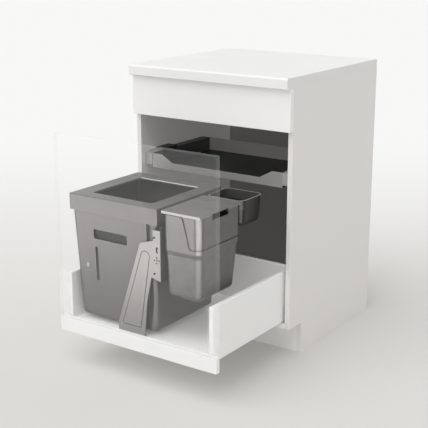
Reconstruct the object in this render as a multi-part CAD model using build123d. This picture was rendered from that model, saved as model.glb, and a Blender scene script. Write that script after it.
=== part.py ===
from build123d import *
import os

# A free-standing kitchen base cabinet with a pull out drawer for waste bins, in millimetres.
# X runs to the cabinet's right, Y to its back, Z up. The pieces are drawn with the sides' front
# edges at y = 0 and the floor at z = 0, with the drawer pulled out, and are placed at the end.

# ---- cabinet
cabinet_width = 600
cabinet_depth = 556
carcase_height = 872
board = 16
edge_round = 1
worktop_thickness = 34
worktop_overhang = 19
worktop_front_round = 6
worktop_back_round = 8
front_thickness = 18
fascia_height = 130
front_reveal = 3
front_side_gap = 1
front_drop = 1
toe_height = 105
toe_depth = 80
back_thickness = 8
back_inset = 16
groove_depth = 6
groove_play = 0.2
rail_depth = 90
wall_rail_height = 110
wall_hole_radius = 2.75
wall_hole_inset = 60

# ---- dowels, screws and angles
dowel_radius = 4
dowel_length = 30
dowel_in_side = 10
dowel_play = 0.05
dowel_end_play = 1
screw_play = 0.05
screw_radius = 2
screw_head_radius = 4
screw_head_height = 2.4
worktop_screw_length = 34
board_screw_length = 13
angle_leg = 26
angle_sheet = 2
angle_height = 40
angle_drop = 36

# ---- drawer
drawer_open = 384
close_gap = 1
drawer_length = 450
runner_gap = 8
wall_width = 14
wall_height = 169
wall_skin = 1.2
wall_top_round = 2.5
wall_flange = 20
drawer_clearance = 7
floor_board = 16
floor_recess = 4
floor_play = 0.3
back_board = 12
connector_depth = 30
connector_face = 3
connector_play = 0.1

# ---- runners: three nested channels a side
runner_length = 440
runner_start = 4
runner_sheet = 1.4
runner_play = 0.4
runner_height = 46
runner_lip = 7.5
runner_flange_height = 52
runner_floor_gap = 2.5
runner_screw_inset = 40

# ---- stay: the pressed steel bracket behind the front
stay_sheet = 2.5
stay_plate_width = 26
stay_plate_bottom = 188
stay_plate_top = 342
stay_shoulder_width = 49
stay_shoulder_height = 309
stay_shoulder_drop = 14
stay_shoulder_round = 10
stay_foot_left = 163
stay_foot_width = 100
stay_foot_rise = 30
stay_knee_height = 120
stay_knee_width = 12
stay_leg_top = 196
stay_leg_top_width = 29
stay_bead_depth = 1.2
stay_bead_width = 2.6
stay_panel_margin = 12
stay_panel_bottom = 27
stay_panel_top = 257
stay_panel_centre = 56
stay_panel_top_radius = 17.5
stay_panel_corner = 6
stay_hole_radius = 3
stay_hole_inset = 22
stay_screw_reach = 5
stay_slot_length = 19
stay_slot_width = 6
stay_slot_raise = 18
stay_cluster_drop = 14
stay_cluster_radius = 8.5
stay_cluster_hole = 2.6
stay_flange = 13
stay_flange_inset = 6
stay_foot_hole_inset = 16

# ---- carrier: the steel side plate that the small containers hang on
carrier_gap = 13
carrier_sheet = 2
carrier_bottom = 183
carrier_top = 354
carrier_length = 333
carrier_corner = 20
hook_width = 28
hook_sheet = 2
hook_drop = 14
hook_play = 0.3

# ---- large bin and its bag frame
rim_height = 405
container_front_gap = 3
frame_width = 338
frame_depth = 335
frame_overhang = 2
frame_skirt = 50
frame_skirt_wall = 2.5
frame_sheet = 3
frame_corner = 6
frame_edge_round = 2.5
frame_opening_width = 231
frame_opening_depth = 235
frame_opening_left = 56
frame_opening_front = 46
frame_opening_corner = 8
frame_lip = 6
frame_lip_wall = 2.5
frame_mouth_round = 2
bin_top_inset_x = 4.5
bin_top_inset_y = 5
bin_taper_x = 15
bin_taper_y = 13
bin_wall = 2.5
bin_floor = 3
bin_top_corner = 12
bin_corner = 20
bin_foot_round = 16
bin_stand = 12
bin_stand_inset = 32
label_width = 131
label_height = 30
label_depth = 12
label_left = 88
label_bottom = 272
label_corner = 5
groove_width = 11
groove_height = 110
groove_bottom = 137
groove_left = 92
press_depth = 3.5
strip_width = 17
strip_inset = 30
strip_depth = 6
back_strip_left = 65
nub_width = 11
nub_height = 15
nub_left = 60
nub_bottom = 183
nub_stand = 2

# ---- small bin, its holder and lid
small_gap = 5.5
small_width = 134
small_depth = 211
small_corner = 22
small_wall = 2
small_taper_x = 5.5
small_taper_front = 4.5
small_taper_back = 19
small_band_step = 2.5
small_foot_corner = 20
small_foot_round = 18
holder_bottom = 144
holder_band = 276
holder_band_slope = 14
holder_drop = 2
holder_cut_height = 303
holder_cut_inset = 38
holder_cut_slope = 25
holder_cut_round = 4
holder_edge_round = 14
holder_line = 4
cup_play = 0.8
lid_thickness = 8
lid_overhang = 3.5
lid_corner = 3
lid_skirt = 6
lid_play = 0.6
grip_width = 83
grip_height = 14
grip_front = 61
grip_notch = 7
grip_notch_cover = 2

# ---- caddy
caddy_gap = 4
caddy_inset = 3.5
caddy_depth = 117
caddy_width = 130
caddy_height = 84
caddy_wall = 2.5
caddy_corner = 20
caddy_taper = 4
caddy_foot_round = 16
caddy_rim = 4
caddy_rim_stand = 1.5

# ---- tray
tray_gap = 6
tray_side_gap = 30
tray_front = 21
tray_depth = 334
tray_sheet = 1.2
tray_wall = 48
tray_lip = 23
tray_lug = 38
tray_lug_slope = 46
tray_bend = 4
tray_rail_height = 40
tray_rail_play = 0.3
tray_block_front = 19
tray_block_length = 58
tray_block_height = 44
tray_block_slope = 14
tray_catch_length = 73
tray_catch_width = 39
tray_catch_height = 8
tray_catch_round = 3
tray_catch_lip = 2
tray_catch_grip = 10

# ---- places worked out from the sizes
side_out = cabinet_width / 2
side_in = side_out - board
bottom_top = toe_height + board
fascia_bottom = carcase_height - fascia_height
back_front = cabinet_depth - back_inset - back_thickness
rest_front = -drawer_open
wall_out = side_in - runner_gap
wall_in = wall_out - wall_width
wall_bottom = bottom_top + drawer_clearance
wall_top = wall_bottom + wall_height
floor_bottom = wall_bottom + floor_recess
floor_top = floor_bottom + floor_board
drawer_back_end = rest_front + drawer_length
front_bottom = toe_height - front_drop
front_top = fascia_bottom - front_reveal
runner_floor = wall_bottom - runner_floor_gap
container_front = rest_front + container_front_gap
rim = floor_top + rim_height
frame_left = -wall_in - frame_overhang
frame_right = frame_left + frame_width
carrier_x = frame_right + carrier_gap
small_left = carrier_x + carrier_sheet + small_gap
small_right = small_left + small_width
small_back = container_front + small_depth
tray_bottom = rim + tray_gap
tray_top = tray_bottom + tray_wall
tray_width = 2 * (side_in - tray_side_gap)
middle_rest = (drawer_open - close_gap) / 2
overall_front = rest_front - front_thickness
origin_y = (overall_front + cabinet_depth) / 2


def block(x0, x1, y0, y1, z0, z1):
    """A box from one corner to the other."""
    middle = Pos((x0 + x1) / 2, (y0 + y1) / 2, (z0 + z1) / 2)
    return middle * Box(abs(x1 - x0), abs(y1 - y0), abs(z1 - z0))


def both_sides(make):
    """The right piece, and its mirror image for the left."""
    right = make()
    return right, mirror(right, about=Plane.YZ)


def along_x(face, x0, x1):
    """A face drawn in Y and Z, carried from x0 to x1."""
    return extrude(Pos(x0, 0, 0) * (Plane.YZ * face), amount=x1 - x0)


def along_y(face, y0, y1):
    """A face drawn in X and Z, carried from y0 to y1."""
    return extrude(Pos(0, y0, 0) * (Plane.XZ * face), amount=-(y1 - y0))


def outline(*points):
    """A flat face through corners."""
    return make_face(Polyline(*points, close=True))


def corner(face, point, radius):
    """The face with its corner nearest to the point rounded."""
    vertex = face.vertices().sort_by_distance(Vector(*point))[0]
    return fillet(vertex, radius)


def rod(radius, start, end):
    """A round bar between two points."""
    run = Vector(*end) - Vector(*start)
    return Plane(origin=start, z_dir=run) * Pos(0, 0, run.length / 2) * Cylinder(radius, run.length)


def screw(seat, way, length, radius=screw_radius):
    """A pan-head screw: its head stands on the seat, and its shank goes the given way."""
    seat, way = Vector(*seat), Vector(*way)
    head = rod(screw_head_radius, seat, seat - way * screw_head_height)
    top = head.faces().sort_by(Axis(seat, way))[0]
    head = fillet(top.edges(), screw_head_height / 3)
    return head + rod(radius, seat, seat + way * length)


def screw_hole(seat, way, length, radius=screw_radius):
    """The hole that a screw's shank fills."""
    seat, way = Vector(*seat), Vector(*way)
    return rod(radius + screw_play, seat, seat + way * (length + dowel_end_play))


def group(solids):
    """Separate solids that share one node."""
    return Compound(list(solids))


# ---- cabinet


def dowel_lines():
    """Where the boards' ends meet the sides, as y and z of each dowel."""
    bottom_z = toe_height + board / 2
    top_z = carcase_height - board / 2
    wall_y = cabinet_depth - board / 2
    plinth_y = toe_depth + board / 2
    wall_low = carcase_height - wall_rail_height
    return {
        "bottom_panel": [(rail_depth, bottom_z), (back_front - rail_depth, bottom_z)],
        "top_rail_front": [(rail_depth / 4, top_z), (rail_depth * 3 / 4, top_z)],
        "top_rail_rear": [(back_front - rail_depth * 3 / 4, top_z), (back_front - rail_depth / 4, top_z)],
        "wall_rail": [(wall_y, wall_low + wall_rail_height / 4), (wall_y, carcase_height - wall_rail_height / 4)],
        "plinth_board": [(plinth_y, toe_height / 4), (plinth_y, toe_height * 3 / 4)],
    }


def dowel_bores(name, side):
    """The bores for one board's dowels in its own end and in the side panel."""
    reach_out = dowel_in_side + dowel_end_play
    reach_in = dowel_length - dowel_in_side + dowel_end_play
    start, end = side * (side_in - reach_in), side * (side_in + reach_out)
    return [rod(dowel_radius + dowel_play, (start, y, z), (end, y, z)) for y, z in dowel_lines()[name]]


def carcase_dowels():
    dowels = []
    for side in (-1, 1):
        start = side * (side_in - dowel_length + dowel_in_side)
        end = side * (side_in + dowel_in_side)
        for lines in dowel_lines().values():
            dowels += [rod(dowel_radius, (start, y, z), (end, y, z)) for y, z in lines]
    return group(dowels)


def cross_board(name, y0, y1, z0, z1):
    """A board between the sides, bored for its dowels."""
    board_piece = block(-side_in, side_in, y0, y1, z0, z1)
    for side in (-1, 1):
        for bore in dowel_bores(name, side):
            board_piece -= bore
    return board_piece


def side_panel():
    """The right side: a toe-kick notch in front, a groove for the back, and blind bores."""
    face = outline((0, toe_height), (toe_depth, toe_height), (toe_depth, 0), (cabinet_depth, 0),
                   (cabinet_depth, carcase_height), (0, carcase_height))
    panel = along_x(face, side_in, side_out)
    panel = fillet(panel.edges().filter_by(Axis.Z).group_by(Axis.Y)[0], edge_round)
    panel -= block(side_in, side_in + groove_depth, back_front - groove_play / 2,
                   back_front + back_thickness + groove_play / 2, toe_height, carcase_height)
    for name in dowel_lines():
        for bore in dowel_bores(name, 1):
            panel -= bore
    for seat in runner_screw_seats() + tray_screw_seats() + [angle_screw_seats()[0]]:
        panel -= screw_hole(seat, (1, 0, 0), board_screw_length)
    return panel


def back_panel():
    reach = side_in + groove_depth - groove_play
    return block(-reach, reach, back_front, back_front + back_thickness, toe_height, carcase_height) - wall_holes()


def wall_holes():
    """The two holes for the screws that fix the cabinet to a wall."""
    z = carcase_height - wall_rail_height / 2
    x = side_in - wall_hole_inset
    holes = [rod(wall_hole_radius, (s * x, back_front - 1, z), (s * x, cabinet_depth + 1, z)) for s in (-1, 1)]
    return holes[0] + holes[1]


def wall_rail():
    rail = cross_board("wall_rail", cabinet_depth - board, cabinet_depth,
                       carcase_height - wall_rail_height, carcase_height)
    return rail - wall_holes()


def top_rail(name, y0):
    rail = cross_board(name, y0, y0 + rail_depth, carcase_height - board, carcase_height)
    for seat in worktop_screw_seats():
        if y0 < seat[1] < y0 + rail_depth:
            rail -= screw_hole(seat, (0, 0, 1), worktop_screw_length)
    return rail


def worktop_screw_seats():
    z = carcase_height - board
    x = side_in / 2
    rows = (rail_depth / 2, back_front - rail_depth / 2)
    return [(side * x, y, z) for side in (-1, 1) for y in rows]


def worktop_screws():
    return group([screw(seat, (0, 0, 1), worktop_screw_length) for seat in worktop_screw_seats()])


def worktop():
    """A slab over the whole cabinet, its long edges rounded and its ends flush with the sides."""
    front = -front_thickness - worktop_overhang
    top = carcase_height + worktop_thickness
    face = outline((front, carcase_height), (cabinet_depth, carcase_height), (cabinet_depth, top), (front, top))
    face = corner(face, (cabinet_depth, top, 0), worktop_back_round)
    face = corner(face, (front, top, 0), worktop_front_round)
    face = corner(face, (front, carcase_height, 0), worktop_front_round / 2)
    slab = along_x(face, -side_out, side_out)
    for seat in worktop_screw_seats():
        slab -= screw_hole(seat, (0, 0, 1), worktop_screw_length)
    return slab


def fascia_panel():
    panel = block(-side_out, side_out, -front_thickness, 0, fascia_bottom, carcase_height)
    panel = fillet(panel.faces().sort_by(Axis.Y)[0].edges(), edge_round)
    for side in (-1, 1):
        x, y, z = angle_screw_seats()[1]
        panel -= screw_hole((side * x, y, z), (0, -1, 0), board_screw_length)
    return panel


def angle_screw_seats():
    """On the right angle: one screw into the side panel, one into the fascia."""
    z = carcase_height - angle_drop - angle_height / 2
    middle = angle_sheet + (angle_leg - angle_sheet) / 2
    return [(side_in - angle_sheet, middle, z), (side_in - middle, angle_sheet, z)]


def fascia_angle():
    """A steel angle in the corner between the right side and the fascia."""
    low = carcase_height - angle_drop - angle_height
    leg = block(side_in - angle_sheet, side_in, 0, angle_leg, low, low + angle_height)
    leg += block(side_in - angle_leg, side_in, 0, angle_sheet, low, low + angle_height)
    to_side, to_front = angle_screw_seats()
    leg -= screw_hole(to_side, (1, 0, 0), board_screw_length)
    return leg - screw_hole(to_front, (0, -1, 0), board_screw_length)


def fascia_angle_screws():
    to_side, to_front = angle_screw_seats()
    right = [screw(to_side, (1, 0, 0), board_screw_length), screw(to_front, (0, -1, 0), board_screw_length)]
    return group(right + [mirror(s, about=Plane.YZ) for s in right])


# ---- tray


def tray_screw_seats():
    """On the right rail: two screws into the side panel."""
    z = tray_top - tray_rail_height / 2
    start = tray_block_front + tray_block_length
    end = tray_front + tray_depth
    x = side_in - tray_sheet
    return [(x, start + (end - start) * part, z) for part in (0.2, 0.8)]


def tray_rail():
    """A steel angle on the right side panel, with a shelf that carries the tray's edge."""
    start = tray_block_front + tray_block_length + connector_play
    end = tray_front + tray_depth
    shelf_top = tray_top - tray_sheet
    inner = tray_width / 2 + tray_rail_play
    rail = block(side_in - tray_sheet, side_in, start, end, tray_top - tray_rail_height, shelf_top)
    rail += block(inner, side_in, start, end, shelf_top - tray_sheet, shelf_top)
    for seat in tray_screw_seats():
        rail -= screw_hole(seat, (1, 0, 0), board_screw_length)
    return rail


def tray_rail_screws():
    right = [screw(seat, (1, 0, 0), board_screw_length) for seat in tray_screw_seats()]
    return group(right + [mirror(s, about=Plane.YZ) for s in right])


def tray_block():
    """The block in front of the right rail, with its top sloping down to the front and the tray."""
    top = tray_top + tray_block_slope / 3
    low = top - tray_block_height
    back = tray_block_front + tray_block_length
    inner = tray_width / 2 + tray_rail_play
    face = outline((tray_block_front, low), (back, low), (back, top), (tray_block_front, top - tray_block_slope / 3))
    piece = along_x(face, inner, side_in)
    piece = fillet(piece.edges().filter_by(Axis.Z).group_by(Axis.Y)[0], edge_round)
    return piece


def tray_catch():
    """The catch behind the right block: it lies on the tray's edge and grips the tray's wall from inside."""
    start = tray_block_front + tray_block_length + connector_play
    end = start + tray_catch_length
    top = tray_top + tray_catch_height
    piece = block(side_in - tray_catch_width, side_in, start, end, tray_top, top)
    piece = fillet(piece.edges().filter_by(Axis.Z).group_by(Axis.X)[0], tray_catch_round)
    piece = chamfer(piece.faces().sort_by(Axis.Z)[-1].edges(), edge_round)
    wall = tray_width / 2 - tray_sheet - connector_play
    return piece + block(wall - tray_catch_lip, wall, start + tray_catch_round, end - tray_catch_round,
                         tray_top - tray_catch_grip, tray_top)


def tray_pan():
    """A folded sheet tray: floor, back, side walls with an edge each, and a low front lip with two lugs."""
    half = tray_width / 2
    inner = half - tray_sheet
    back = tray_front + tray_depth
    body = block(-half, half, tray_front, back, tray_bottom, tray_top)
    upright = body.edges().filter_by(Axis.Z).group_by(Axis.Y)[-1]
    body = fillet(upright, tray_bend)
    hollow = block(-inner, inner, tray_front + tray_sheet, back - tray_sheet,
                   tray_bottom + tray_sheet, tray_top + tray_wall)
    hollow = fillet(hollow.edges().filter_by(Axis.Z).group_by(Axis.Y)[-1], tray_bend - tray_sheet)
    body -= hollow
    low = tray_bottom + tray_lip
    lug = half - tray_lug
    mouth = outline((-lug + tray_lug_slope, low), (lug - tray_lug_slope, low), (lug, tray_top),
                    (lug, tray_top + tray_wall), (-lug, tray_top + tray_wall), (-lug, tray_top))
    for x, z, radius in ((-lug + tray_lug_slope, low, tray_bend), (lug - tray_lug_slope, low, tray_bend)):
        mouth = corner(mouth, (x, z, 0), radius)
    body -= along_y(mouth, tray_front - 1, tray_front + tray_sheet + tray_bend)
    edge_start = tray_block_front + tray_block_length + connector_play
    for side in (-1, 1):
        body += block(side * inner, side * (side_in - tray_sheet - tray_rail_play),
                      edge_start, back - tray_bend, tray_top - tray_sheet, tray_top)
    return body


# ---- runners, all drawn for the right side with the drawer pulled out


def channel(web_x, tip_x, low, high, sheet):
    """A channel's section: an upright web and two lips that reach from it to tip_x."""
    way = 1 if tip_x > web_x else -1
    web = outline((web_x, low), (web_x + way * sheet, low), (web_x + way * sheet, high), (web_x, high))
    for z0, z1 in ((low, low + sheet), (high - sheet, high)):
        web += outline((web_x, z0), (tip_x, z0), (tip_x, z1), (web_x, z1))
    return web


def runner_places():
    """The three channels' webs and tips in X and their heights in Z, from the cabinet to the drawer."""
    hollow_out = wall_out - wall_skin
    hollow_in = wall_in + wall_skin
    nest = runner_sheet + runner_play
    rail = (hollow_out - 1, hollow_out - 1 - runner_lip, runner_floor - runner_sheet, runner_floor + runner_height)
    middle = (rail[0] - nest, rail[1], rail[2] + nest, rail[3] - nest)
    slide = (hollow_in, middle[0] - nest, middle[2] + nest, middle[3] - nest)
    return rail, middle, slide


def runner_rail():
    """The cabinet's member: a flange on the side panel, a foot under the drawer wall, and the channel."""
    web_x, tip_x, low, high = runner_places()[0]
    section = channel(web_x, tip_x, low, high, runner_sheet)
    section += outline((web_x - runner_sheet, low), (side_in, low), (side_in, low + runner_sheet),
                       (web_x - runner_sheet, low + runner_sheet))
    section += outline((side_in - runner_sheet, low), (side_in, low), (side_in, low + runner_flange_height),
                       (side_in - runner_sheet, low + runner_flange_height))
    rail = along_y(section, runner_start, runner_start + runner_length)
    for seat in runner_screw_seats():
        rail -= screw_hole(seat, (1, 0, 0), board_screw_length)
    return rail


def runner_screw_seats():
    z = runner_floor + runner_flange_height * 2 / 3
    start, end = runner_start + runner_screw_inset, runner_start + runner_length - runner_screw_inset
    return [(side_in - runner_sheet, y, z) for y in (start, (start + end) / 2, end)]


def runner_rail_screws():
    right = [screw(seat, (1, 0, 0), board_screw_length) for seat in runner_screw_seats()]
    return group(right + [mirror(s, about=Plane.YZ) for s in right])


def runner_middle():
    web_x, tip_x, low, high = runner_places()[1]
    start = runner_start - middle_rest
    return along_y(channel(web_x, tip_x, low, high, runner_sheet), start, start + runner_length)


def runner_slide():
    """The drawer's member, on the wall's inner skin."""
    web_x, tip_x, low, high = runner_places()[2]
    start = rest_front + runner_start
    return along_y(channel(web_x, tip_x, low, high, runner_sheet), start, start + runner_length)


# ---- drawer


def drawer_side():
    """The right wall: one sheet folded over the top, open below, with a flange under the floor."""
    shell = outline((wall_in, wall_bottom), (wall_out, wall_bottom), (wall_out, wall_top), (wall_in, wall_top))
    shell = corner(shell, (wall_in, wall_top, 0), wall_top_round)
    shell = corner(shell, (wall_out, wall_top, 0), wall_top_round)
    hollow = outline((wall_in + wall_skin, wall_bottom), (wall_out - wall_skin, wall_bottom),
                     (wall_out - wall_skin, wall_top - wall_skin), (wall_in + wall_skin, wall_top - wall_skin))
    hollow = corner(hollow, (wall_in + wall_skin, wall_top - wall_skin, 0), wall_top_round - wall_skin)
    hollow = corner(hollow, (wall_out - wall_skin, wall_top - wall_skin, 0), wall_top_round - wall_skin)
    inner_foot = outline((wall_in, wall_bottom), (wall_in + wall_skin, wall_bottom),
                         (wall_in + wall_skin, floor_bottom - wall_skin), (wall_in, floor_bottom - wall_skin))
    flange = outline((wall_in - wall_flange, floor_bottom - wall_skin), (wall_in + wall_skin, floor_bottom - wall_skin),
                     (wall_in + wall_skin, floor_bottom), (wall_in - wall_flange, floor_bottom))
    wall = along_y(shell - hollow - inner_foot + flange, rest_front, drawer_back_end)
    for seat in floor_screw_seats():
        wall -= screw_hole(seat, (0, 0, 1), board_screw_length)
    return wall


def floor_screw_seats():
    """Under the right flange: three screws up into the floor."""
    x = wall_in - wall_flange / 2
    z = floor_bottom - wall_skin
    return [(x, rest_front + drawer_length * part, z) for part in (0.15, 0.5, 0.85)]


def floor_screws():
    right = [screw(seat, (0, 0, 1), board_screw_length) for seat in floor_screw_seats()]
    return group(right + [mirror(s, about=Plane.YZ) for s in right])


def drawer_floor():
    reach = wall_in - floor_play
    floor = block(-reach, reach, rest_front, drawer_back_end, floor_bottom, floor_top)
    for x, y, z in floor_screw_seats():
        for side in (-1, 1):
            floor -= screw_hole((side * x, y, z), (0, 0, 1), board_screw_length)
    for seat in foot_screw_seats():
        floor -= screw_hole(seat, (0, 0, -1), board_screw_length)
    return floor


def drawer_back():
    reach = wall_in - floor_play
    board_piece = block(-reach, reach, drawer_back_end - back_board, drawer_back_end, floor_top, wall_top)
    return fillet(board_piece.faces().sort_by(Axis.Z)[-1].edges().filter_by(Axis.X), edge_round)


def back_bracket():
    """A steel angle outside the right rear corner: one leg behind the back, one in the hollow wall."""
    high = wall_top - wall_top_round - connector_play
    low = runner_floor + runner_height + angle_sheet
    in_wall = wall_in + wall_skin + connector_play
    piece = block(in_wall, in_wall + angle_sheet, drawer_back_end - angle_leg, drawer_back_end + angle_sheet, low, high)
    piece += block(wall_in - angle_leg, in_wall + angle_sheet, drawer_back_end,
                   drawer_back_end + angle_sheet, low, high)
    return piece


def front_connector():
    """Closes the right wall's front end and reaches back into it above the runner."""
    inner = wall_in + wall_skin + connector_play
    outer = wall_out - wall_skin - connector_play
    high = wall_top - wall_skin - connector_play
    low = runner_floor + runner_height + connector_face
    face = block(inner, outer, rest_front, rest_front + connector_face, wall_bottom, high)
    core = block(inner, outer, rest_front, rest_front + connector_depth, low, high)
    piece = face + core
    return fillet(piece.edges().filter_by(Axis.Y).group_by(Axis.Z)[-1], wall_top_round - wall_skin)


def front_panel():
    reach = side_out - front_side_gap
    panel = block(-reach, reach, rest_front - front_thickness, rest_front, front_bottom, front_top)
    panel = fillet(panel.faces().sort_by(Axis.Y)[0].edges(), edge_round)
    for seat in stay_screw_seats():
        panel -= screw_hole(seat, (0, -1, 0), stay_screw_length())
    return panel


# ---- stay and carrier


def stay_right():
    """The stay's right edge, which lines up with the carrier's plate."""
    return carrier_x + carrier_sheet


def stay_screw_length():
    return stay_sheet + carrier_sheet + stay_screw_reach


def stay_screw_seats():
    """Two screws through the carrier's tab and the stay's plate into the front."""
    x = stay_right() - stay_plate_width + screw_head_radius + 1
    y = rest_front + stay_sheet + carrier_sheet
    low, high = floor_top + stay_plate_bottom, floor_top + stay_plate_top
    return [(x, y, z) for z in (low + stay_hole_inset, high - stay_hole_inset)]


def stay_screws():
    return group([screw(seat, (0, -1, 0), stay_screw_length()) for seat in stay_screw_seats()])


def foot_screw_seats():
    """Two screws through the stay's foot into the floor."""
    left = stay_right() - stay_foot_left
    y = rest_front + stay_flange / 2 + stay_sheet / 2
    inset = stay_foot_hole_inset
    return [(x, y, floor_top + stay_sheet) for x in (left + inset, left + stay_foot_width - inset)]


def stay_foot_screws():
    return group([screw(seat, (0, 0, -1), board_screw_length) for seat in foot_screw_seats()])


def stay_leg():
    """The flared leg's corners, from its foot up: left and right, right knee and right top."""
    right = stay_right()
    foot_left = (right - stay_foot_left, floor_top)
    foot_right = (foot_left[0] + stay_foot_width, floor_top)
    knee = (foot_right[0] + stay_knee_width, floor_top + stay_knee_height)
    top = (foot_right[0] + stay_leg_top_width, floor_top + stay_leg_top)
    return foot_left, foot_right, knee, top


def front_stay():
    """Pressed sheet behind the front: a plate, a shoulder and a flared leg with a pressed bead and a foot."""
    right = stay_right()
    plate_left = right - stay_plate_width
    shoulder_left = plate_left - stay_shoulder_width
    shoulder_z = floor_top + stay_shoulder_height
    foot_left, foot_right, knee, leg_top = stay_leg()
    crook = (shoulder_left, shoulder_z - stay_shoulder_drop)
    face = outline((right, floor_top + stay_plate_bottom), (right, floor_top + stay_plate_top),
                   (plate_left, floor_top + stay_plate_top), (plate_left, shoulder_z), crook,
                   (foot_left[0], floor_top + stay_foot_rise), foot_left, foot_right, knee, leg_top)
    face = corner(face, (*crook, 0), stay_shoulder_round)
    sheet = along_y(face, rest_front, rest_front + stay_sheet)
    bead = stay_bead()
    sheet += along_y(bead, rest_front + stay_sheet, rest_front + stay_sheet + stay_bead_depth)
    sheet -= along_y(bead, rest_front, rest_front + stay_bead_depth)
    sheet += block(foot_left[0] + stay_flange_inset, foot_right[0] - stay_flange_inset,
                   rest_front, rest_front + stay_flange, floor_top, floor_top + stay_sheet)
    for x, y, z in stay_screw_seats():
        sheet -= rod(stay_hole_radius, (x, y, z), (x, rest_front - 1, z))
    for seat in foot_screw_seats():
        sheet -= screw_hole(seat, (0, 0, -1), board_screw_length)
    return sheet - stay_slots()


def stay_bead():
    """The pressed bead's face in X and Z: a closed line that follows the leg, with a half round at its top."""
    return stay_panel(0) - stay_panel(stay_bead_width)


def stay_panel(inset):
    """The panel inside the bead, drawn in by the inset."""
    foot_left, foot_right, knee, leg_top = stay_leg()
    low = floor_top + stay_panel_bottom + inset
    top = floor_top + stay_panel_top
    left = foot_left[0] + stay_panel_margin * 1.2 + inset
    right = foot_right[0] - stay_panel_margin - inset
    middle = stay_right() - stay_panel_centre
    radius = stay_panel_top_radius - inset
    taper = outline((left, low), (right, low), (middle + radius, top), (middle - radius, top))
    for x in (left, right):
        taper = corner(taper, (x, low, 0), stay_panel_corner - inset)
    return taper + Pos(middle, top) * Circle(radius)


def stay_slots():
    """The plate's adjusting slot, and a cluster of small holes below it."""
    x = stay_right() - stay_plate_width / 2
    middle = floor_top + (stay_plate_bottom + stay_plate_top) / 2
    arc = CenterArc((x + stay_slot_length, middle + stay_slot_raise), stay_slot_length, 158, 44)
    face = SlotArc(arc, stay_slot_width)
    cluster = middle - stay_cluster_drop
    face += Pos(x, cluster) * Circle(stay_cluster_hole)
    for spot in PolarLocations(stay_cluster_radius, 4):
        face += Pos(x, cluster) * spot * Circle(stay_cluster_hole)
    return along_y(face, rest_front - 1, rest_front + stay_sheet + carrier_sheet + 1)


def bin_carrier():
    """A side plate that stands back from the stay, with a tab behind the stay's plate."""
    low, high = floor_top + carrier_bottom, floor_top + carrier_top
    start = rest_front + stay_sheet
    end = start + carrier_length
    face = outline((start, low), (end, low), (end, high), (start, high))
    for z in (low, high):
        face = corner(face, (end, z, 0), carrier_corner)
    plate = along_x(face, carrier_x, carrier_x + carrier_sheet)
    tab_left = stay_right() - stay_plate_width
    tab_low, tab_high = floor_top + stay_plate_bottom + 4, floor_top + stay_plate_top
    plate += block(tab_left, carrier_x, start, start + carrier_sheet, tab_low, tab_high)
    for seat in stay_screw_seats():
        plate -= screw_hole(seat, (0, -1, 0), stay_screw_length())
    return plate - stay_slots()


def hook(y, wall_x):
    """A hook from a container's left wall over the carrier's top edge."""
    top = floor_top + carrier_top + hook_play
    outer = carrier_x - hook_play - hook_sheet
    piece = block(outer, wall_x, y, y + hook_width, top, top + hook_sheet)
    return piece + block(outer, outer + hook_sheet, y, y + hook_width, top - hook_drop, top + hook_sheet)


# ---- containers


def slab_face(x0, x1, y0, y1, radius, z):
    """A rounded rectangle at a height."""
    return Pos((x0 + x1) / 2, (y0 + y1) / 2, z) * RectangleRounded(x1 - x0, y1 - y0, radius)


def prism(x0, x1, y0, y1, radius, z0, z1):
    """An upright prism on a rounded rectangle."""
    return extrude(slab_face(x0, x1, y0, y1, radius, z0), amount=z1 - z0)


def bin_sections(inset):
    """The large bin's foot and rim, drawn in from its outer face by the inset."""
    x0, x1 = frame_left + bin_top_inset_x, frame_right - bin_top_inset_x
    y0, y1 = container_front + bin_top_inset_y, container_front + frame_depth - bin_top_inset_y
    foot = (x0 + bin_taper_x + inset, x1 - bin_taper_x - inset, y0 + bin_taper_y + inset, y1 - bin_taper_y - inset)
    top = (x0 + inset, x1 - inset, y0 + inset, y1 - inset)
    return foot, top


def bin_rim():
    return rim - frame_sheet


def bin_base():
    """The height of the large bin's bottom, above its stand."""
    return floor_top + bin_stand


def large_bin():
    """A tapered bin on a low stand, with a pocket, a groove and upright strips pressed into it."""
    foot, top = bin_sections(0)
    base = bin_base()
    body = loft([slab_face(*foot, bin_corner, base), slab_face(*top, bin_top_corner, bin_rim())])
    body = fillet(body.faces().sort_by(Axis.Z)[0].edges(), bin_foot_round)
    foot, top = bin_sections(bin_wall)
    cavity = loft([slab_face(*foot, bin_corner - bin_wall, base + bin_floor),
                   slab_face(*top, bin_top_corner - bin_wall, bin_rim())])
    cavity = fillet(cavity.faces().sort_by(Axis.Z)[0].edges(), bin_foot_round - bin_wall)
    back = container_front + frame_depth
    for face, depth in large_bin_presses():
        cavity -= along_y(offset(face, bin_wall), container_front, bin_front_at(face) + depth + bin_wall)
    strip = bin_back_strip()
    inset = bin_front_at(strip) - container_front + press_depth
    cavity -= along_y(offset(strip, bin_wall), back - inset - bin_wall, back)
    body -= cavity
    for face, depth in large_bin_presses():
        body -= along_y(face, container_front - 1, bin_front_at(face) + depth)
    body -= along_y(strip, back - inset, back + 1)
    return body + bin_nub() + bin_stand_ring()


def bin_stand_ring():
    """The low ring that the large bin stands on, set in from its edge."""
    foot = bin_sections(bin_stand_inset)[0]
    inner = bin_sections(bin_stand_inset + bin_floor)[0]
    ring = prism(*foot, bin_corner, floor_top, bin_base() + bin_floor / 2)
    return ring - prism(*inner, bin_corner - bin_floor, floor_top, bin_base())


def bin_front_at(face):
    """The y of the bin's front at the face's middle height."""
    height = (face.center().Y - bin_base()) / (bin_rim() - bin_base())
    return container_front + bin_top_inset_y + bin_taper_y * (1 - height)


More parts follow.
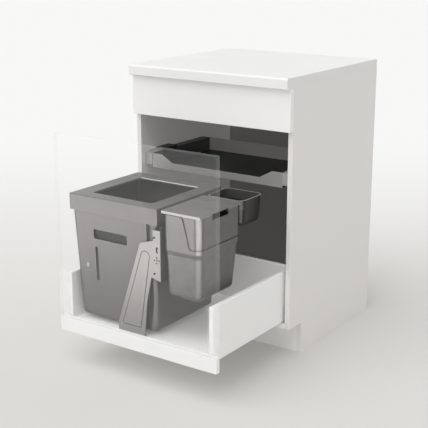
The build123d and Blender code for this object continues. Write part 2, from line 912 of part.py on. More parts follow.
def large_bin_presses():
    """The shapes pressed into the bin's front, in X and Z, each with its depth."""
    left = frame_left + label_left
    pocket = outline((left, floor_top + label_bottom), (left + label_width, floor_top + label_bottom),
                     (left + label_width, floor_top + label_bottom + label_height),
                     (left, floor_top + label_bottom + label_height))
    pocket = fillet(pocket.vertices(), label_corner)
    groove_x = frame_left + groove_left + groove_width / 2
    groove_z = floor_top + groove_bottom + groove_height / 2
    groove = Pos(groove_x, groove_z) * SlotOverall(groove_height, groove_width, rotation=90)
    strip = upright_strip(frame_right - bin_top_inset_x - strip_inset)
    return [(pocket, label_depth), (groove, press_depth), (strip, strip_depth)]


def upright_strip(x):
    """An upright strip's face, from above the bin's foot to its rim."""
    low = bin_base() + bin_foot_round * 2
    return Pos(x, (low + bin_rim()) / 2) * Rectangle(strip_width, bin_rim() - low)


def bin_back_strip():
    return upright_strip(frame_left + back_strip_left)


def bin_nub():
    """A small oval nub on the bin's front."""
    x = frame_left + nub_left
    z = floor_top + nub_bottom
    face = Pos(x, z) * SlotOverall(nub_height, nub_width, rotation=90)
    front = bin_front_at(face)
    return along_y(face, front - nub_stand, front + bin_wall)


def bag_frame():
    """The deep collar on the bin: a flat ring with an outer skirt and a short inner lip."""
    x0, x1 = frame_left, frame_right
    y0, y1 = container_front, container_front + frame_depth
    body = prism(x0, x1, y0, y1, frame_corner, rim - frame_skirt, rim)
    body = fillet(body.faces().sort_by(Axis.Z)[-1].edges(), frame_edge_round)
    wall = frame_skirt_wall
    body -= prism(x0 + wall, x1 - wall, y0 + wall, y1 - wall, frame_corner - wall, rim - frame_skirt, rim - frame_sheet)
    open_x, open_y = x0 + frame_opening_left, y0 + frame_opening_front
    mouth = (open_x, open_x + frame_opening_width, open_y, open_y + frame_opening_depth)
    lip = frame_lip_wall
    body += prism(mouth[0] - lip, mouth[1] + lip, mouth[2] - lip, mouth[3] + lip,
                  frame_opening_corner + lip, rim - frame_lip, rim - frame_sheet)
    body -= prism(*mouth, frame_opening_corner, rim - frame_skirt, rim + 1)
    edge = body.edges().group_by(Axis.Z)[-1]
    edge = edge.filter_by_position(Axis.X, mouth[0] - 1, mouth[1] + 1)
    return fillet(edge.filter_by_position(Axis.Y, mouth[2] - 1, mouth[3] + 1), frame_mouth_round)


def small_sections(inset):
    """The small bin's foot and waist and the band above it, drawn in by the inset."""
    x0, x1 = small_left + small_band_step, small_right - small_band_step
    y0, y1 = container_front + small_band_step, small_back - small_band_step * 2
    foot = (x0 + small_taper_x + inset, x1 - small_taper_x - inset,
            y0 + small_taper_front + inset, y1 - small_taper_back - inset)
    waist = (x0 + inset, x1 - inset, y0 + inset, y1 - inset)
    band = (small_left + inset, small_right - inset, container_front + inset, small_back - inset)
    return foot, waist, band


def small_shape(inset, low, top, foot_round):
    """A tapered cup: a loft up to the waist, a short slope out, and an upright band up to the top."""
    foot, waist, band = small_sections(inset)
    radius = small_corner - inset
    waist_z = floor_top + holder_band
    cup = loft([slab_face(*foot, small_foot_corner - inset, low), slab_face(*waist, radius, waist_z)])
    cup = fillet(cup.faces().sort_by(Axis.Z)[0].edges(), foot_round)
    slope = loft([slab_face(*waist, radius, waist_z), slab_face(*band, radius, waist_z + holder_band_slope)])
    return cup + slope + prism(*band, radius, waist_z + holder_band_slope, top)


def small_top():
    """The height of the small bin's edge, under its lid."""
    return rim - lid_thickness


def holder_cut(shift):
    """What the holder leaves open on the right, so that the bin shows: a prism through it, drawn in by the shift."""
    low = floor_top + holder_cut_height + shift
    edge = small_top() - holder_drop + shift
    high = rim + lid_thickness
    right = small_right + small_corner
    foot_x = small_right - holder_cut_inset + shift
    top_x = foot_x - holder_cut_slope
    left = top_x - holder_edge_round * 2
    face = outline((foot_x, low), (right, low), (right, high), (left, high), (left, edge), (top_x, edge))
    face = corner(face, (foot_x, low, 0), holder_cut_round)
    face = corner(face, (top_x, edge, 0), holder_edge_round)
    return along_y(face, container_front - 1, small_back + 1)


def bin_holder():
    """The outer holder of the small bin, hung on the carrier and cut away at its upper right."""
    low = floor_top + holder_bottom
    body = small_shape(0, low, small_top() - holder_drop, small_foot_round)
    body -= small_shape(small_wall, low + small_wall, rim, small_foot_round - small_wall)
    body -= holder_cut(0)
    for y in (container_front + small_corner * 2, small_back - small_corner - hook_width):
        body += hook(y, small_left + small_wall)
    return body


def small_bin():
    """The bin in the holder: a cup, thickened where the holder is cut away to lie flush with it."""
    low = floor_top + holder_bottom + small_wall + cup_play
    shell = small_wall + cup_play
    body = small_shape(shell, low, small_top(), small_foot_round - shell)
    band = small_sections(0)[2]
    body += prism(*band, small_corner, floor_top + holder_cut_height, small_top()) & holder_cut(holder_line)
    inside = shell + small_wall
    body -= small_shape(inside, low + small_wall, rim, small_foot_round - inside)
    grip_start = container_front + grip_front
    return body - block(small_right - small_corner, small_right + 1, grip_start, grip_start + grip_width,
                        small_top() - grip_height, rim)


def small_bin_lid():
    """A flat lid with a locating skirt, both notched over the grip hole."""
    left = small_left - lid_overhang
    lid = prism(left, small_right, container_front, small_back, lid_corner, small_top(), rim)
    lid = fillet(lid.faces().sort_by(Axis.Z)[-1].edges(), lid_corner / 3)
    inset = small_wall * 2 + cup_play + lid_play
    skirt = (small_left + inset, small_right - inset, container_front + inset, small_back - inset)
    radius = small_corner - inset
    inner = [v + small_wall * s for v, s in zip(skirt, (1, -1, 1, -1))]
    low = small_top() - lid_skirt
    ring = prism(*skirt, radius, low, small_top()) - prism(*inner, radius - small_wall, low, small_top())
    grip_start = container_front + grip_front
    lid -= block(small_right - grip_notch, small_right + 1, grip_start, grip_start + grip_width,
                 small_top(), rim - grip_notch_cover)
    return lid + ring - block(small_right - small_corner, small_right, grip_start, grip_start + grip_width,
                              low, small_top())


def caddy_sections(inset):
    """The caddy's foot and rim, drawn in by the inset."""
    x0 = small_left + caddy_inset
    y0 = small_back + caddy_gap
    top = (x0 + inset, x0 + caddy_width - inset, y0 + inset, y0 + caddy_depth - inset)
    foot = [v + caddy_taper * s for v, s in zip(top, (1, -1, 1, -1))]
    return foot, top


def caddy():
    """A shallow open caddy behind the small bin, with a rounded rim, hung on the carrier."""
    low = rim - caddy_height
    foot, top = caddy_sections(0)
    body = loft([slab_face(*foot, caddy_corner, low), slab_face(*top, caddy_corner, rim)])
    body = fillet(body.faces().sort_by(Axis.Z)[0].edges(), caddy_foot_round)
    wide = caddy_sections(-caddy_rim_stand)[1]
    band = prism(*wide, caddy_corner + caddy_rim_stand, rim - caddy_rim, rim)
    body += fillet(band.faces().sort_by(Axis.Z)[-1].edges(), caddy_rim_stand)
    foot, top = caddy_sections(caddy_wall)
    radius = caddy_corner - caddy_wall
    cavity = loft([slab_face(*foot, radius, low + caddy_wall), slab_face(*top, radius, rim)])
    cavity = fillet(cavity.faces().sort_by(Axis.Z)[0].edges(), caddy_foot_round - caddy_wall)
    body -= cavity
    start = small_back + caddy_gap
    drop = rim - floor_top - carrier_top - hook_play - hook_sheet / 2
    wall_x = small_left + caddy_inset + caddy_taper * drop / caddy_height + caddy_wall / 2
    for y in (start + caddy_corner, start + caddy_depth - caddy_corner - hook_width):
        body += hook(y, wall_x)
    return body


# ---- assembly


def pieces():
    """Every named piece of the object, where it lies with the drawer pulled out."""
    found = {
        "worktop": worktop(),
        "fascia_panel": fascia_panel(),
        "bottom_panel": cross_board("bottom_panel", 0, back_front, toe_height, bottom_top),
        "plinth_board": cross_board("plinth_board", toe_depth, toe_depth + board, 0, toe_height),
        "back_panel": back_panel(),
        "top_rail_front": top_rail("top_rail_front", 0),
        "top_rail_rear": top_rail("top_rail_rear", back_front - rail_depth),
        "wall_rail": wall_rail(),
        "carcase_dowels": carcase_dowels(),
        "worktop_screws": worktop_screws(),
        "fascia_angle_screws": fascia_angle_screws(),
        "runner_rail_screws": runner_rail_screws(),
        "tray_pan": tray_pan(),
        "tray_rail_screws": tray_rail_screws(),
        "drawer_floor": drawer_floor(),
        "drawer_back": drawer_back(),
        "floor_screws": floor_screws(),
        "front_panel": front_panel(),
        "front_stay": front_stay(),
        "stay_screws": stay_screws(),
        "stay_foot_screws": stay_foot_screws(),
        "bin_carrier": bin_carrier(),
        "large_bin": large_bin(),
        "bag_frame": bag_frame(),
        "bin_holder": bin_holder(),
        "small_bin": small_bin(),
        "small_bin_lid": small_bin_lid(),
        "caddy": caddy(),
    }
    pairs = {
        "side_panel": side_panel,
        "fascia_angle": fascia_angle,
        "tray_rail": tray_rail,
        "tray_block": tray_block,
        "tray_catch": tray_catch,
        "runner_rail": runner_rail,
        "runner_middle": runner_middle,
        "runner_slide": runner_slide,
        "drawer_side": drawer_side,
        "back_bracket": back_bracket,
        "front_connector": front_connector,
    }
    for name, make in pairs.items():
        found[name + "_right"], found[name + "_left"] = both_sides(make)
    return found


def main():
    os.makedirs("parts", exist_ok=True)
    for name, piece in pieces().items():
        export_step(Pos(0, -origin_y, 0) * piece, f"parts/{name}.step")


main()
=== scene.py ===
import math

import bpy
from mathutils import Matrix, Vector


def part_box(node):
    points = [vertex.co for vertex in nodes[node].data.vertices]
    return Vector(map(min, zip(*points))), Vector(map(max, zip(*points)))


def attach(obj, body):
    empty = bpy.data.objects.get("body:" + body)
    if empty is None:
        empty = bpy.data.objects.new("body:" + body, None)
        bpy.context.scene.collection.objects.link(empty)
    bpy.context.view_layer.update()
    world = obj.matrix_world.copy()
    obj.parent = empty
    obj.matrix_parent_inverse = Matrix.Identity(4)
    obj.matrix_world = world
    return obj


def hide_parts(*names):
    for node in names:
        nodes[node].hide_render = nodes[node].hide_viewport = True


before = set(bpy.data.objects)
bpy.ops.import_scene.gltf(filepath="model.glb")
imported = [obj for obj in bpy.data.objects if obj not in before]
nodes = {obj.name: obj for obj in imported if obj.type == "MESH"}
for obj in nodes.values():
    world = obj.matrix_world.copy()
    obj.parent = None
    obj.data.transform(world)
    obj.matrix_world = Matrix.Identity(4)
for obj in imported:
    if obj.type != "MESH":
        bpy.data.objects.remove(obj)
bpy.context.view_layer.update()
for left_over in bpy.context.selected_objects:
    left_over.select_set(False)


# ------------------------------------------------------------------ the view
# The cabinet is seen from its front right corner, a little from above, through a long lens.

camera = bpy.data.objects.new("view", bpy.data.cameras.new("view"))
camera.location = (1.7724, -2.6117, 1.3078)
camera.rotation_euler = (math.radians(74.321), 0, math.radians(34.782))
camera.data.lens = 83.31
camera.data.clip_end = 60
bpy.context.scene.collection.objects.link(camera)
bpy.context.scene.camera = camera
bpy.context.scene.view_settings.view_transform = "Standard"


# ------------------------------------------------------------------ the studio
# A pale paper floor runs far behind the cabinet, lighter further off. A broad key lamp shines from
# above the front, a weak fill from the right throws no shadow, and two soft boxes low in front only
# show in the sheen. The pale surround looks brighter than the light it casts.


class Wire:
    """A value in a finish's shader that takes part in ordinary sums."""

    def __init__(self, finish, socket):
        self.finish, self.socket = finish, socket

    def math(self, operation, *values):
        return self.finish.node("ShaderNodeMath", {"operation": operation}, *values)

    def __add__(self, other):
        return self.math("ADD", self, other)

    def __sub__(self, other):
        return self.math("SUBTRACT", self, other)

    def __rsub__(self, other):
        return self.math("SUBTRACT", other, self)

    def __mul__(self, other):
        return self.math("MULTIPLY", self, other)

    def __gt__(self, other):
        return self.math("GREATER_THAN", self, other)

    def __lt__(self, other):
        return self.math("LESS_THAN", self, other)

    __radd__ = __add__
    __rmul__ = __mul__

    def size(self):
        return self.math("ABSOLUTE", self)

    def fade(self, start, end, low=0.0, high=1.0):
        """Runs smoothly from low at the start to high at the end."""
        kind = {"interpolation_type": "SMOOTHSTEP"}
        return self.finish.node("ShaderNodeMapRange", kind, self, start, end, low, high)


class Finish:
    """A named material with one Principled shader, laid in object coordinates."""

    def __init__(self, name, colour, roughness, **settings):
        self.material = bpy.data.materials.new(name)
        self.material.use_nodes = True
        self.tree = self.material.node_tree
        self.shader = self.tree.nodes["Principled BSDF"]
        self.set("Base Color", (*colour, 1))
        self.set("Roughness", roughness)
        for socket, value in settings.items():
            self.set(socket.replace("_", " "), value)
        self.place = self.node("ShaderNodeTexCoord", {}, out="Object")
        parts = self.tree.nodes.new("ShaderNodeSeparateXYZ")
        self.tree.links.new(self.place.socket, parts.inputs[0])
        self.x, self.y, self.z = (Wire(self, parts.outputs[i]) for i in range(3))

    def join(self, value, socket):
        if isinstance(value, Wire):
            self.tree.links.new(value.socket, socket)
        elif value is not None:
            socket.default_value = value

    def set(self, name, value):
        self.join(value, self.shader.inputs[name])

    def node(self, kind, settings, *values, out=0, **named):
        """Adds a node: its settings first, then its sockets by order or by name."""
        made = self.tree.nodes.new(kind)
        for key, value in settings.items():
            setattr(made, key, value)
        for socket, value in zip(made.inputs, values):
            self.join(value, socket)
        for key, value in named.items():
            self.join(value, made.inputs[key.replace("_", " ")])
        return Wire(self, made.outputs[out])

    def grain(self, scale, detail=2.0, stretch=(1, 1, 1)):
        """Fine noise from 0 to 1, with so many grains to the metre."""
        at = self.node("ShaderNodeMapping", {}, self.place, Scale=stretch)
        return self.node("ShaderNodeTexNoise", {}, Vector=at, Scale=scale, Detail=detail)

    def tint(self, amount, first, second):
        """A colour between two, by an amount from 0 to 1."""
        mix = self.tree.nodes.new("ShaderNodeMix")
        mix.data_type = "RGBA"
        factor, colour_a, colour_b, colour_out = mix.inputs[0], mix.inputs[6], mix.inputs[7], mix.outputs[2]
        for socket, value in zip((factor, colour_a, colour_b), (amount, first, second)):
            self.join(value if isinstance(value, (Wire, float, int)) else (*value, 1), socket)
        return Wire(self, colour_out)

    def relief(self, height, depth, soft=0.0006):
        """Raises the surface by the height times the depth in metres, with its edges softened."""
        edge = self.node("ShaderNodeBevel", {"samples": 4}, soft)
        bump = self.node("ShaderNodeBump", {}, Strength=1.0, Distance=depth, Height=height, Normal=edge)
        self.set("Normal", bump)

    def coat(self, *names):
        """Gives the finish to the named pieces of the cabinet."""
        for name in names:
            for slot in nodes[name].material_slots:
                slot.material = self.material


bpy.ops.mesh.primitive_plane_add(size=60, location=(0, 10, 0))
floor = bpy.context.object
floor.name = "studio_floor"
bpy.ops.object.transform_apply(location=True, rotation=False, scale=False)
paper = Finish("studio_paper", (0.8, 0.8, 0.79), 0.9, Specular_IOR_Level=0.0)
leftward, rearward = 0.574, 0.819
distance = paper.y * rearward - paper.x * leftward
near, far = -0.6, 3.4
near_tone, far_tone = (0.66, 0.65, 0.627), (0.84, 0.84, 0.835)
paper.set("Base Color", paper.tint(distance.fade(near, far), near_tone, far_tone))
floor.data.materials.append(paper.material)


def lamp(name, kind, place, aim, diffuse=True, **settings):
    """A lamp at a place, turned to an aim; without diffuse it only shows in the sheen of what it lights."""
    light = bpy.data.objects.new(name, bpy.data.lights.new(name, kind))
    for key, value in settings.items():
        setattr(light.data, key, value)
    light.location = place
    light.rotation_euler = (Vector(aim) - Vector(place)).to_track_quat("-Z", "Y").to_euler()
    light.visible_camera = False
    light.visible_diffuse = diffuse
    bpy.context.scene.collection.objects.link(light)


soft_box_white = (1.0, 0.955, 0.945)


def soft_box(name, place, aim, width, height, level):
    """A warm white card, so many times as bright as white paper, that only shows in the sheen."""
    lamp(name, "AREA", place, aim, False, shape="RECTANGLE", size=width, size_y=height,
         color=soft_box_white, energy=level * math.pi * width * height)


lamp("key_lamp", "SUN", (-0.35, -1.10, 1.65), (0, 0, 0), energy=1.55, angle=math.radians(70))
lamp("fill_lamp", "SUN", (0.80, -0.70, 1.00), (0, 0, 0), energy=0.50, use_shadow=False)
soft_box("left_box", (-0.60, -1.32, 0.16), (0, -0.45, 0.38), width=1.2, height=0.55, level=4.3)
soft_box("right_box", (0.95, -1.30, 0.24), (0.1, -0.4, 0.35), width=2.2, height=0.6, level=9.5)

world = bpy.data.worlds.new("surround")
world.use_nodes = True
surround = world.node_tree.nodes["Background"]
surround.inputs["Color"].default_value = (1, 1, 1, 1)
ray = world.node_tree.nodes.new("ShaderNodeLightPath")
level = world.node_tree.nodes.new("ShaderNodeMapRange")
light_cast, light_seen = 0.60, 0.92
level.inputs["To Min"].default_value = light_cast
level.inputs["To Max"].default_value = light_seen
world.node_tree.links.new(ray.outputs["Is Camera Ray"], level.inputs["Value"])
world.node_tree.links.new(level.outputs["Result"], surround.inputs["Strength"])
bpy.context.scene.world = world


# ------------------------------------------------------------------ the worktop
# A plain white mineral slab, ground smooth, with its long edges rounded over. Its ends are painted
# a shade darker: painted shade, as the end faces are turned from the light.

mineral = Finish("white_mineral", (0.82, 0.82, 0.81), 0.38, Specular_IOR_Level=0.12)
speck = mineral.grain(1400, 3.0).fade(0.62, 0.74)
cloud = mineral.grain(7, 3.0)
slab = mineral.tint(cloud, (0.82, 0.82, 0.81), (0.85, 0.85, 0.84))
end_reach = 0.0008
# Painted shade: the worktop's end faces are tinted darker.
painted_shade_end = mineral.x.size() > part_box("worktop")[1].x - end_reach
slab = mineral.tint(painted_shade_end, slab, (0.78, 0.765, 0.755))
mineral.set("Base Color", mineral.tint(speck * 0.25, slab, (0.70, 0.70, 0.68)))
mineral.set("Roughness", cloud.fade(0.3, 0.7, 0.33, 0.42))
mineral.relief(mineral.grain(260, 2.0), 0.00003, 0.001)
mineral.coat("worktop")


# ------------------------------------------------------------------ the carcase
# Chipboard boards faced with white laminate, with the same white on their cut edges. Beech dowels
# join them, and the back sits in grooves in the sides.

between_sides, rear_margin = 0.2835, 0.0005


def laminate(name, colour, depth_shade=None):
    """White laminate with a faint orange peel; depth_shade gives two depths and the painted shade tone
    inside at each.
    """
    finish = Finish(name, colour, 0.42, Specular_IOR_Level=0.12)
    drift = finish.grain(5, 2.0)
    shade = finish.tint(drift, [c * 0.985 for c in colour], [min(1, c * 1.01) for c in colour])
    if depth_shade:
        start, end, front_tone, back_tone = depth_shade
        inner = finish.x.size() < between_sides
        inner = inner * (finish.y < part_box("back_panel")[1].y - rear_margin)
        shade = finish.tint(inner, shade, finish.tint(finish.y.fade(start, end), front_tone, back_tone))
    finish.set("Base Color", shade)
    finish.set("Roughness", drift.fade(0.3, 0.7, 0.38, 0.46))
    finish.relief(finish.grain(420, 2.0), 0.00004, 0.0008)
    return finish


white_board = laminate("white_laminate", (0.88, 0.875, 0.865))
white_board.coat("fascia_panel", "plinth_board", "wall_rail")
# Painted shade: the bottom, back and rails turn from white to mid grey with depth inside the cabinet.
inside_painted_shade = (-0.06, 0.16, (0.94, 0.93, 0.92), (0.30, 0.295, 0.29))
# Painted shade: this laminate is a darker copy of the white, as the side faces get less light.
shade_painted_board = laminate("shade_painted_laminate", (0.79, 0.775, 0.76), inside_painted_shade)
shade_painted_board.coat("side_panel_left", "side_panel_right", "bottom_panel")
shade_painted_board.coat("back_panel", "top_rail_front", "top_rail_rear")

beech = Finish("beech", (0.55, 0.38, 0.22), 0.6)
beech.set("Base Color", beech.tint(beech.grain(60, 3.0, (1, 8, 8)), (0.48, 0.32, 0.17), (0.62, 0.45, 0.27)))
beech.coat("carcase_dowels")


# ------------------------------------------------------------------ runners, angles and screws
# Each runner is a rail, a middle and a slide, rolled from zinc-plated steel that shows its faint
# crystals and streaks. Screws hold the rails and the punched angles to the boards.

zinc = Finish("zinc_plate", (0.62, 0.63, 0.64), 0.36, Metallic=1.0)
streak = zinc.grain(300, 3.0, (1, 0.04, 1))
bloom = zinc.grain(45, 3.0)
zinc.set("Base Color", zinc.tint(bloom, (0.55, 0.56, 0.57), (0.70, 0.70, 0.70)))
zinc.set("Roughness", (streak * 0.5 + bloom * 0.5).fade(0.3, 0.7, 0.28, 0.46))
zinc.relief(streak, 0.00003, 0.0003)
zinc.coat(
    "fascia_angle_left", "fascia_angle_right", "fascia_angle_screws", "worktop_screws",
    "runner_rail_left", "runner_rail_right", "runner_rail_screws",
    "runner_middle_left", "runner_middle_right", "runner_slide_left", "runner_slide_right",
    "tray_rail_screws", "back_bracket_left", "back_bracket_right",
    "floor_screws", "stay_foot_screws",
)


# ------------------------------------------------------------------ the tray
# Sheet steel, folded and powder coated grey. Its rear wall is painted lighter as painted light, and its
# floor and the inside behind its lip nearly black as painted shade. Its edges lie on two steel angles.
# In front of each is a light plastic block, and behind that a dark catch lies on the tray's edge.


def powder(name, colour, roughness=0.5):
    """Powder coat: an even matt colour over a fine pebbled skin."""
    finish = Finish(name, colour, roughness)
    pebble = finish.grain(900, 2.0)
    finish.set("Base Color", finish.tint(pebble, [c * 0.94 for c in colour], [c * 1.06 for c in colour]))
    finish.relief(pebble, 0.00006, 0.0006)
    return finish


tray_coat = powder("tray_powder", (0.17, 0.165, 0.16), 0.45)
pebble = tray_coat.grain(900, 2.0)
floor_bottom, floor_top, floor_front = 0.5598, 0.5615, -0.0555
lip_back, wall_front, wall_start = -0.0546, 0.276, 0.2763
# Painted light and shade: the rear wall is lightened, and the floor and the inside behind the lip are
# darkened nearly to black.
shaded_floor = (tray_coat.z < floor_top) * (tray_coat.z > floor_bottom) * (tray_coat.y > floor_front)
shaded_behind_lip = (tray_coat.y > lip_back) * (tray_coat.y < wall_front)
tray_tone_and_shade = tray_coat.tint(pebble, (0.25, 0.2425, 0.2375), (0.28, 0.2725, 0.265))
tray_tone_and_shade = tray_coat.tint(tray_coat.y > wall_start, tray_tone_and_shade, (0.40, 0.39, 0.38))
tray_tone_and_shade = tray_coat.tint(shaded_behind_lip, tray_tone_and_shade, (0.05, 0.05, 0.05))
tray_coat.set("Base Color", tray_coat.tint(shaded_floor, tray_tone_and_shade, (0.018, 0.018, 0.018)))
tray_coat.coat("tray_pan")
powder("rail_powder", (0.035, 0.035, 0.035)).coat("tray_rail_left", "tray_rail_right")


def moulding(name, colour, roughness=0.42, gloss=0.5, drawn=0.0):
    """Moulded plastic: a fine spark-eroded grain and a soft sheen, drawn out upright if asked."""
    finish = Finish(
        name, colour, roughness, Specular_IOR_Level=gloss, Anisotropic=drawn, Anisotropic_Rotation=0.25)
    fine = finish.grain(1300, 2.0)
    drift = finish.grain(9, 2.0)
    darker, lighter = [c * 0.965 for c in colour], [min(1, c * 1.03) for c in colour]
    finish.set("Base Color", finish.tint(drift, darker, lighter))
    blotch = fine * 0.6 + drift * 0.4
    finish.set("Roughness", blotch.fade(0.3, 0.7, roughness - 0.05, roughness + 0.06))
    finish.relief(fine, 0.00005, 0.0008)
    return finish


moulding("light_moulding", (0.34, 0.33, 0.32), roughness=0.5).coat("tray_block_left", "tray_block_right")
moulding("black_moulding", (0.012, 0.012, 0.012), roughness=0.5).coat("tray_catch_left", "tray_catch_right")


# ------------------------------------------------------------------ the drawer
# White powder-coated steel walls, folded over at the top, with a white laminated floor and back
# fixed between them. Plastic end pieces close the walls' front ends.

white_coat = powder("white_powder", (0.88, 0.88, 0.87), 0.4)
white_coat.coat("drawer_side_left", "drawer_side_right")
laminate("drawer_laminate", (0.92, 0.915, 0.905)).coat("drawer_floor", "drawer_back")
moulding("white_moulding", (0.86, 0.86, 0.85), 0.45).coat("front_connector_left", "front_connector_right")


# ------------------------------------------------------------------ the front
# A clear acrylic sheet with polished, slightly rounded edges and a faint white veil. White enamel
# hides the drawer's edges: dense along the foot, and thinner beside the drawer.

front_low, front_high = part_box("front_panel")
# The pane stops short of the solid's back, where it would lie in the stay's face.
back_relief = 0.0004
pane_size = front_high - front_low - Vector((0, back_relief, 0))
bpy.ops.mesh.primitive_cube_add(size=1, location=front_low + pane_size / 2)
pane = bpy.context.object
pane.name = "clear_front"
pane.scale = pane_size
bpy.ops.object.transform_apply(location=True, rotation=False, scale=True)
rounding = pane.modifiers.new("edges", "BEVEL")
rounding.width, rounding.segments = 0.0015, 3
bpy.ops.object.modifier_apply(modifier="edges")
bpy.ops.object.shade_smooth_by_angle(angle=math.radians(35))

acrylic = Finish("clear_acrylic", (0.95, 0.95, 0.95), 0.22, Specular_IOR_Level=0.25)
# The enamel goes by height and by side, through the whole pane.
rim_width, rim_veil, face_veil = 0.0012, 0.05, 0.034
foot_full, foot_clear, foot_density = 0.0035, 0.0065, 0.80
side_clear, side_full, side_density, side_fade = 0.034, 0.028, 0.22, 0.02
off_rim = (acrylic.x.size() < front_high.x - rim_width) * (acrylic.z < front_high.z - rim_width)
on_rim = 1 - off_rim
floor_level, side_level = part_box("drawer_floor")[1].z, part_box("drawer_side_left")[1].z
foot_band = acrylic.z.fade(floor_level + foot_full, floor_level + foot_clear, foot_density, 0.0)
side_band = acrylic.x.size().fade(front_high.x - side_clear, front_high.x - side_full, 0.0, side_density)
side_band = side_band * acrylic.z.fade(side_level, side_level + side_fade, 1.0, 0.0)
enamel = foot_band.math("MAXIMUM", foot_band, side_band)
acrylic.set("Alpha", enamel.math("MAXIMUM", enamel, on_rim * rim_veil + face_veil))
cloud = acrylic.grain(4, 2.0)
acrylic.set("Base Color", acrylic.tint(cloud, (0.94, 0.94, 0.94), (0.96, 0.96, 0.96)))
acrylic.set("Roughness", cloud.fade(0.3, 0.7, 0.18, 0.26))
acrylic.material.surface_render_method = "BLENDED"
pane.data.materials.append(acrylic.material)
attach(pane, "drawer")
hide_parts("front_panel")


# ------------------------------------------------------------------ the stay and the carrier
# Pressed sheet steel, powder coated grey. Painted shade makes it darker towards the foot and lays a dark
# line in its bead and along its foot. Two black screws hold it and the dark carrier's tab to the front.

stay_coat = powder("stay_powder", (0.36, 0.352, 0.343), 0.40)
plate_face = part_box("front_stay")[0].y
tone_low, tone_high = 0.15, 0.42
# Painted shade: the face goes darker towards the bottom.
shaded_face_tone = stay_coat.z.fade(tone_low, tone_high)
shaded_face_tone = stay_coat.tint(shaded_face_tone, (0.225, 0.216, 0.209), (0.41, 0.397, 0.387))
bead_start, bead_end, foot_line, shade_line_strength = 0.0002, 0.0015, 0.0016, 0.75
# Painted shade: a dark line in the bead's hollow and along the foot.
in_bead = (stay_coat.y > plate_face + bead_start) * (stay_coat.y < plate_face + bead_end)
on_foot = stay_coat.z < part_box("front_stay")[0].z + foot_line
painted_shade_line = in_bead.math("MAXIMUM", in_bead, on_foot)
stay_coat.set("Base Color", stay_coat.tint(painted_shade_line * shade_line_strength, shaded_face_tone, (0.03, 0.03, 0.03)))
stay_coat.coat("front_stay")
powder("carrier_powder", (0.05, 0.048, 0.047), 0.5).coat("bin_carrier")
powder("black_oxide", (0.012, 0.012, 0.012), 0.7).coat("stay_screws")


# ------------------------------------------------------------------ the large bin and its frame
# A tapered bin moulded in dark grey plastic, with a grip pocket, a groove and upright strips pressed
# into it and a pale nub in front. Painted shade darkens the pocket and the groove. A deep collar on its
# rim traps the bag.

bin_skin = moulding("bin_plastic", (0.075, 0.073, 0.071), roughness=0.30, gloss=0.8, drawn=0.8)
collar_left, collar_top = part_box("bag_frame")[0].x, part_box("bag_frame")[1].z
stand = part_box("drawer_floor")[1].z
bin_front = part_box("large_bin")[0].y
bin_slope = 0.033


def bin_field(left, width, low, height, start, end):
    """One inside a field of the bin's front, between two depths behind the front's plane."""
    across = (bin_skin.x > collar_left + left) * (bin_skin.x < collar_left + left + width)
    upright = (bin_skin.z > stand + low) * (bin_skin.z < stand + low + height)
    depth = bin_skin.y - bin_front - (collar_top - bin_skin.z) * bin_slope
    return across * upright * (depth > start) * (depth < end)


pocket = bin_field(left=0.0875, width=0.132, low=0.2715, height=0.031, start=0.0008, end=0.020)
groove = bin_field(left=0.090, width=0.015, low=0.135, height=0.114, start=0.0008, end=0.006)
nub = bin_field(left=0.052, width=0.016, low=0.173, height=0.022, start=-0.006, end=-0.0006)
plain_tone, hollow_shade_tone, nub_tone = (0.075, 0.072, 0.071), (0.012, 0.012, 0.012), (0.33, 0.33, 0.32)
# Painted shade: the groove and the pocket are darkened nearly to black.
tone = bin_skin.tint(groove, plain_tone, hollow_shade_tone)
tone = bin_skin.tint(pocket, tone, hollow_shade_tone)
bin_skin.set("Base Color", bin_skin.tint(nub, tone, nub_tone))
# The pressed fields are duller, and painted darker as painted shade.
bin_sheen = bin_skin.grain(1300).fade(0.3, 0.7, 0.27, 0.33)
bin_skin.set("Roughness", bin_sheen + pocket * 0.62 + groove * 0.65)
bin_skin.coat("large_bin")

collar_tone = (0.12, 0.117, 0.114)
collar = moulding("frame_plastic", collar_tone, roughness=0.30, gloss=0.7, drawn=0.8)
# A painted highlight: a bright line along the back edge of the collar's mouth.
mouth_depth, mouth_middle, mouth_half_width = 0.281, 0.1715, 0.112
line_reach, line_height = 0.0022, 0.0021
mouth_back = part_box("bag_frame")[0].y + mouth_depth
mouth_highlight = ((collar.y - mouth_back).size() < line_reach) * (collar.z > collar_top - line_height)
mouth_highlight = mouth_highlight * ((collar.x - collar_left - mouth_middle).size() < mouth_half_width)
collar.set("Base Color", collar.tint(mouth_highlight, collar_tone, (0.62, 0.61, 0.60)))
collar.coat("bag_frame")


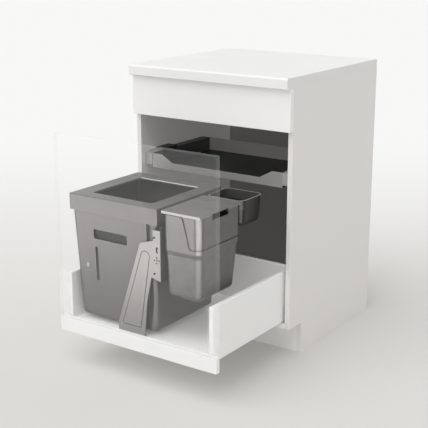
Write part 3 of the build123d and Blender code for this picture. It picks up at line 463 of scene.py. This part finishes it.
# ------------------------------------------------------------------ the small bin
# Two nested cups moulded in dark grey plastic: the holder hangs on the carrier, and the bin sits
# inside it, under a flat grey lid whose front edge has a painted highlight.

holder_skin = moulding("holder_plastic", (0.062, 0.060, 0.058), roughness=0.27, gloss=0.95, drawn=0.8)
holder_skin.coat("bin_holder")
cup_skin = moulding("cup_plastic", (0.055, 0.053, 0.052), roughness=0.27, gloss=0.95, drawn=0.8)
cup_skin.coat("small_bin")
lid_tone = (0.17, 0.166, 0.163)
lid_skin = moulding("lid_plastic", lid_tone, roughness=0.30)
lid_front, lid_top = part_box("small_bin_lid")[0].y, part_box("small_bin_lid")[1].z
edge_depth, edge_drop = 0.0012, 0.0004
# Painted highlight: the lid's front edge is painted pale.
edge_highlight = (lid_skin.y < lid_front + edge_depth) * (lid_skin.z < lid_top - edge_drop)
lid_skin.set("Base Color", lid_skin.tint(edge_highlight, lid_tone, (0.48, 0.47, 0.46)))
lid_skin.coat("small_bin_lid")


# ------------------------------------------------------------------ the caddy
# A shallow open pot moulded in nearly black plastic, with a rounded rim that has a painted highlight.
# It hangs on the carrier behind the small bin.

caddy_skin = moulding("caddy_plastic", (0.025, 0.024, 0.023), roughness=0.27, gloss=0.3, drawn=0.8)
rim_height, wall_in, lighter_depth = 0.0012, 0.0036, 0.030
rim_highlight = caddy_skin.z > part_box("caddy")[1].z - rim_height
caddy_low, caddy_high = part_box("caddy")
# Painted light: the upper part of the inside is painted a shade lighter than the outside.
lit_inside = (caddy_skin.x > caddy_low.x + wall_in) * (caddy_skin.x < caddy_high.x - wall_in)
lit_inside = lit_inside * (caddy_skin.y > caddy_low.y + wall_in) * (caddy_skin.y < caddy_high.y - wall_in)
lit_inside = lit_inside * (caddy_skin.z > caddy_high.z - lighter_depth)
pot_light_tone = caddy_skin.tint(lit_inside, (0.018, 0.0175, 0.017), (0.062, 0.061, 0.059))
caddy_skin.set("Base Color", caddy_skin.tint(rim_highlight, pot_light_tone, (0.22, 0.218, 0.21)))
caddy_skin.coat("caddy")
